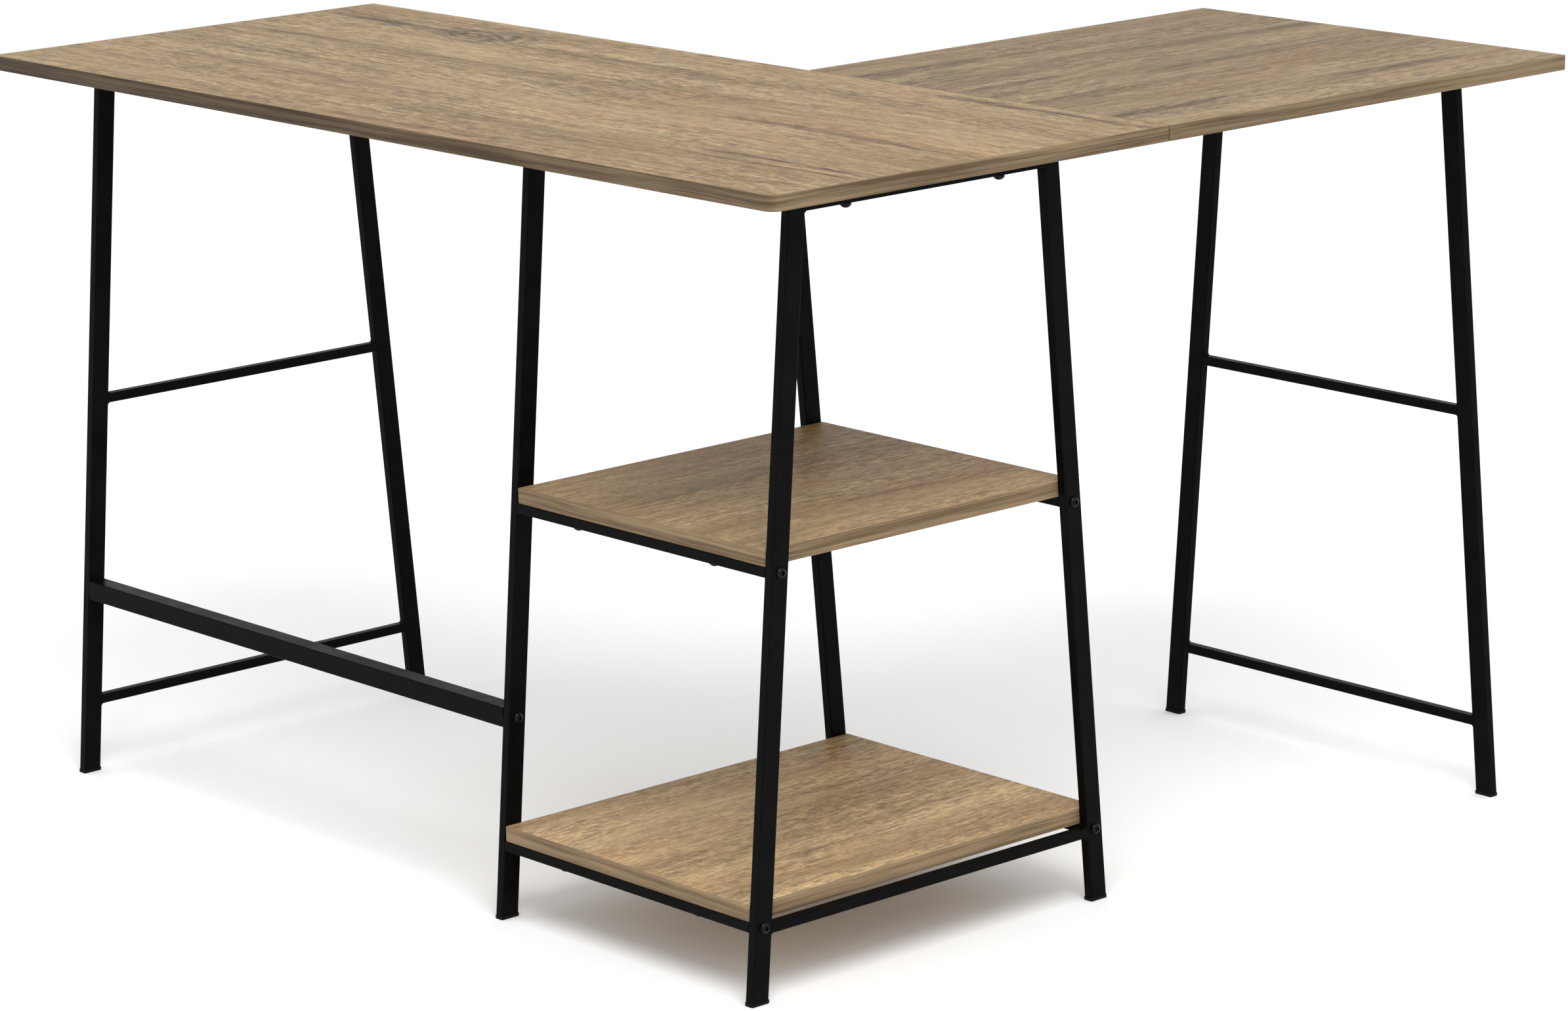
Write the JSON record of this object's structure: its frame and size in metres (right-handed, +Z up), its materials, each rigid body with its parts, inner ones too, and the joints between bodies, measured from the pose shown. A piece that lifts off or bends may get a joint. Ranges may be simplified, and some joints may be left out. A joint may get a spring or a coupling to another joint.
{
  "type": "corner desk",
  "caption": "L-shaped corner desk with thin wood-grain tops on leaning flat-tube steel frames, two open shelves under the shared corner and a low rail along the outer side.",
  "frame": {"origin": "on the floor, under the middle of the desk's outline", "axes": "+X along the main top towards the corner it shares with the return, +Y from the main top's outer edge towards the return's free end, +Z up"},
  "size_m": [1.2, 1.066, 0.76],
  "materials": {
    "oak_laminate": "matt weathered-oak laminate on particle board",
    "oak_edge_band": "matt wood-print edge band",
    "black_steel": "satin black powder coat",
    "black_plastic": "moulded black plastic",
    "black_bolt": "black oxide",
    "zinc_steel": "zinc plated"
  },
  "bodies": {
    "root": {"main_top_board": "oak_laminate", "return_top_board": "oak_laminate", "upper_shelf_board": "oak_laminate", "lower_shelf_board": "oak_laminate", "main_top_edge_band": "oak_edge_band", "return_top_edge_band": "oak_edge_band", "upper_shelf_edge_band": "oak_edge_band", "lower_shelf_edge_band": "oak_edge_band", "left_frame_outer_leg": "black_steel", "left_frame_inner_leg": "black_steel", "left_frame_top_rail": "black_steel", "shelf_left_frame_outer_leg": "black_steel", "shelf_left_frame_inner_leg": "black_steel", "shelf_left_frame_top_rail": "black_steel", "shelf_right_frame_outer_leg": "black_steel", "shelf_right_frame_inner_leg": "black_steel", "shelf_right_frame_top_rail": "black_steel", "return_frame_outer_leg": "black_steel", "return_frame_inner_leg": "black_steel", "return_frame_top_rail": "black_steel", "left_frame_upper_rung": "black_steel", "left_frame_lower_rung": "black_steel", "return_frame_upper_rung": "black_steel", "return_frame_lower_rung": "black_steel", "shelf_left_frame_cross_rail": "black_steel", "shelf_right_frame_cross_rail": "black_steel", "upper_shelf_outer_rail": "black_steel", "upper_shelf_inner_rail": "black_steel", "lower_shelf_outer_rail": "black_steel", "lower_shelf_inner_rail": "black_steel", "stretcher": "black_steel", "left_frame_outer_foot": "black_plastic", "left_frame_inner_foot": "black_plastic", "shelf_left_frame_outer_foot": "black_plastic", "shelf_left_frame_inner_foot": "black_plastic", "shelf_right_frame_outer_foot": "black_plastic", "shelf_right_frame_inner_foot": "black_plastic", "return_frame_outer_foot": "black_plastic", "return_frame_inner_foot": "black_plastic", "shelf_rail_bolts": "black_bolt", "stretcher_bolts": "black_bolt", "worktop_bolts": "black_bolt", "shelf_bolts": "black_bolt", "shelf_rail_end_nuts": "zinc_steel", "stretcher_end_nuts": "zinc_steel", "worktop_inserts": "zinc_steel", "shelf_inserts": "zinc_steel", "joining_plates": "zinc_steel", "joining_screws": "zinc_steel"}
  },
  "joints": []
}
